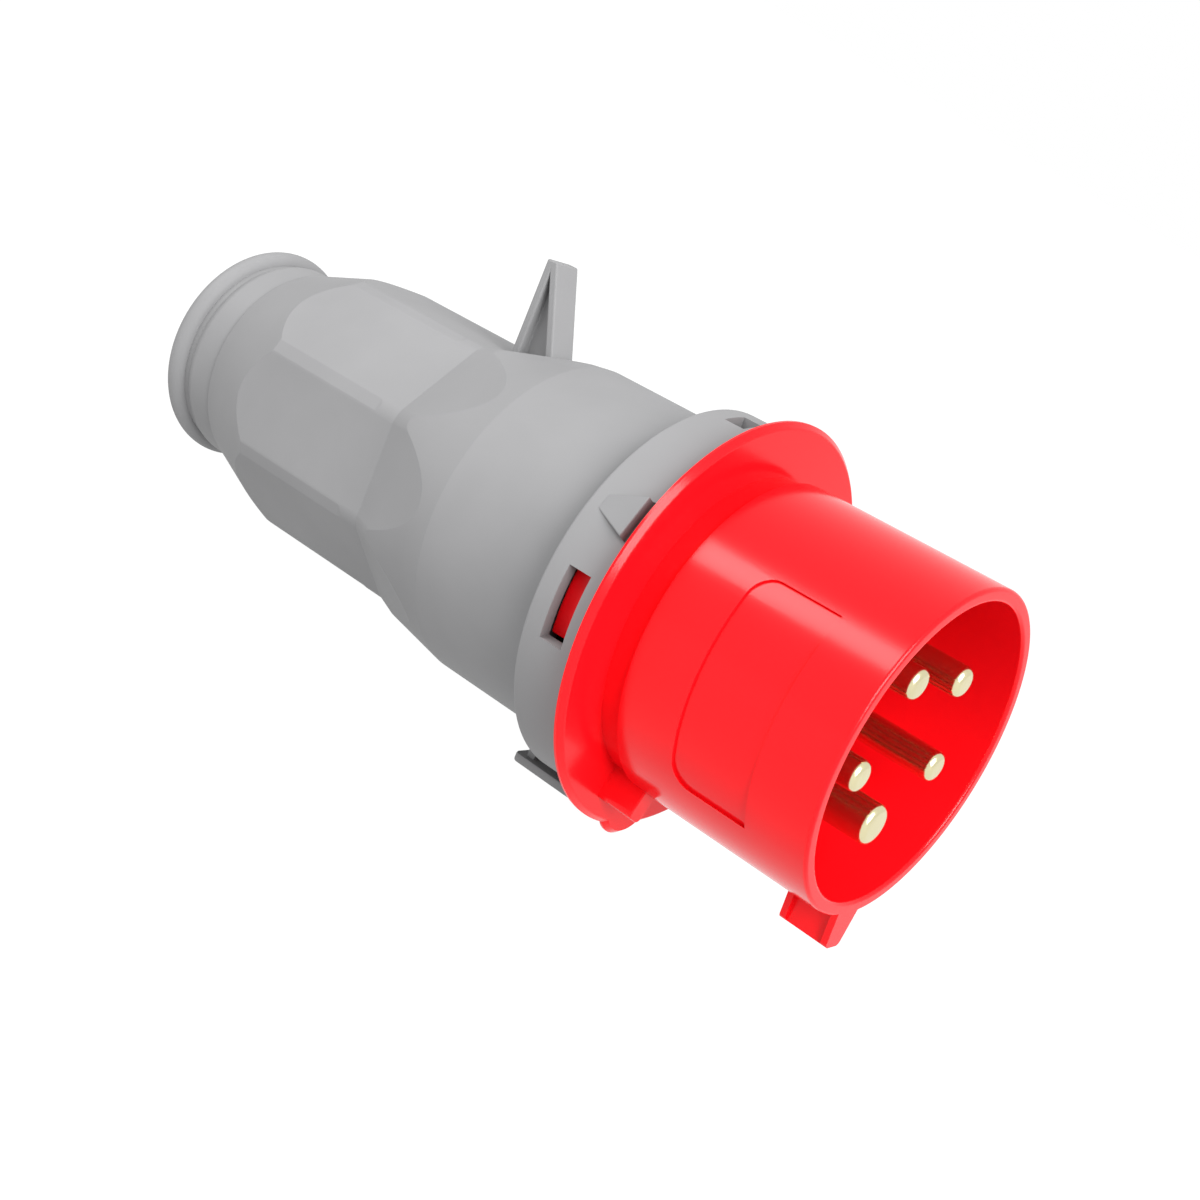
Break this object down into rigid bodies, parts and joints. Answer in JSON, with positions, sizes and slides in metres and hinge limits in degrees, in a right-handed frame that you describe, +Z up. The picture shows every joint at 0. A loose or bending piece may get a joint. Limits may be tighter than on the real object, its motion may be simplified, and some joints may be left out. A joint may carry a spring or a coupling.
{
  "type": "industrial pin and sleeve plug",
  "caption": "Straight industrial plug with round contact pins in a keyed sleeve, a flange, a gripped housing that slides off, and a cable gland at the rear.",
  "frame": {"origin": "under the middle of the plug as it lies, on the surface it lies on", "axes": "+X towards the open end of the sleeve, as seen from above; +Z up; the plug's own axis is tilted nose up"},
  "size_m": [0.1898, 0.083, 0.084],
  "materials": {
    "red_plastic": "smooth moulded, satin gloss",
    "grey_plastic": "smooth moulded, satin",
    "carrier_plastic": "moulded, matt black",
    "contact_brass": "bright, lightly polished",
    "screw_steel": "zinc plated",
    "seal_rubber": "matt",
    "washer_plastic": "natural white nylon"
  },
  "bodies": {
    "plug_front": {"contact_sleeve": "red_plastic", "contact_carrier": "carrier_plastic", "centre_screw": "screw_steel", "housing_seal": "seal_rubber", "clamp_saddle": "carrier_plastic", "pin_earth": "contact_brass", "pin_line_1": "contact_brass", "pin_line_2": "contact_brass", "pin_line_3": "contact_brass", "pin_neutral": "contact_brass"},
    "clamp_bar": {"clamp_bar": "carrier_plastic"},
    "clamp_screw_left": {"clamp_screw_left": "screw_steel"},
    "clamp_screw_right": {"clamp_screw_right": "screw_steel"},
    "rear_housing": {"rear_housing": "grey_plastic", "latch_pin": "screw_steel", "latch_spring": "screw_steel", "gland_seal": "seal_rubber", "gland_washer": "washer_plastic"},
    "release_latch": {"release_latch": "grey_plastic"},
    "gland_nut": {"gland_nut": "grey_plastic"},
    "terminal_screw_earth": {"terminal_screw_earth": "screw_steel"},
    "terminal_screw_line_1": {"terminal_screw_line_1": "screw_steel"},
    "terminal_screw_line_2": {"terminal_screw_line_2": "screw_steel"},
    "terminal_screw_line_3": {"terminal_screw_line_3": "screw_steel"},
    "terminal_screw_neutral": {"terminal_screw_neutral": "screw_steel"}
  },
  "joints": [
    {"name": "housing_slide", "type": "slide", "parent": "plug_front", "child": "rear_housing", "axis": [-0.9893, 0, -0.1458], "range_m": [0, 0.12]},
    {"name": "latch_press", "type": "hinge", "parent": "rear_housing", "child": "release_latch", "pos_m": [0.04246, 0, 0.00379], "axis": [0, 1, 0], "range_deg": [0, 6], "stiffness_Nm_per_rad": 0.1, "springref_deg": -20.05},
    {"name": "gland_nut_turn", "type": "hinge", "parent": "rear_housing", "child": "gland_nut", "pos_m": [-0.08735, 0, 0.02388], "axis": [-0.9893, 0, -0.1458], "range_deg": [0, 1800]},
    {"name": "clamp_slide", "type": "slide", "parent": "plug_front", "child": "clamp_bar", "axis": [0.1458, 0, -0.9893], "range_m": [0, 0.0055]},
    {"name": "clamp_screw_right_turn", "type": "hinge", "parent": "clamp_bar", "child": "clamp_screw_right", "pos_m": [0.0046, -0.015, 0.03439], "axis": [0.1458, 0, -0.9893], "range_deg": [0, 2828.57]},
    {"name": "clamp_screw_left_turn", "type": "hinge", "parent": "clamp_bar", "child": "clamp_screw_left", "pos_m": [0.0046, 0.015, 0.03439], "axis": [0.1458, 0, -0.9893], "range_deg": [0, 2828.57]},
    {"name": "terminal_screw_earth_turn", "type": "hinge", "parent": "plug_front", "child": "terminal_screw_earth", "pos_m": [0.03476, 0, 0.02105], "axis": [0.1458, 0, -0.9893], "range_deg": [-2700, 360]},
    {"name": "terminal_screw_line_1_turn", "type": "hinge", "parent": "plug_front", "child": "terminal_screw_line_1", "pos_m": [0.03269, 0.01959, 0.03513], "axis": [0.0451, 0.9511, -0.3057], "range_deg": [-2700, 360]},
    {"name": "terminal_screw_line_2_turn", "type": "hinge", "parent": "plug_front", "child": "terminal_screw_line_2", "pos_m": [0.02933, 0.01211, 0.05792], "axis": [-0.1179, 0.5878, 0.8004], "range_deg": [-2700, 360]},
    {"name": "terminal_screw_line_3_turn", "type": "hinge", "parent": "plug_front", "child": "terminal_screw_line_3", "pos_m": [0.02933, -0.01211, 0.05792], "axis": [-0.1179, -0.5878, 0.8004], "range_deg": [-2700, 360]},
    {"name": "terminal_screw_neutral_turn", "type": "hinge", "parent": "plug_front", "child": "terminal_screw_neutral", "pos_m": [0.03269, -0.01959, 0.03513], "axis": [0.0451, -0.9511, -0.3057], "range_deg": [-2700, 360]}
  ],
  "couplings": [
    {"joint": "clamp_screw_right_turn", "follows": "clamp_slide", "rad_per_m": 8975.9},
    {"joint": "clamp_screw_left_turn", "follows": "clamp_slide", "rad_per_m": 8975.9}
  ]
}
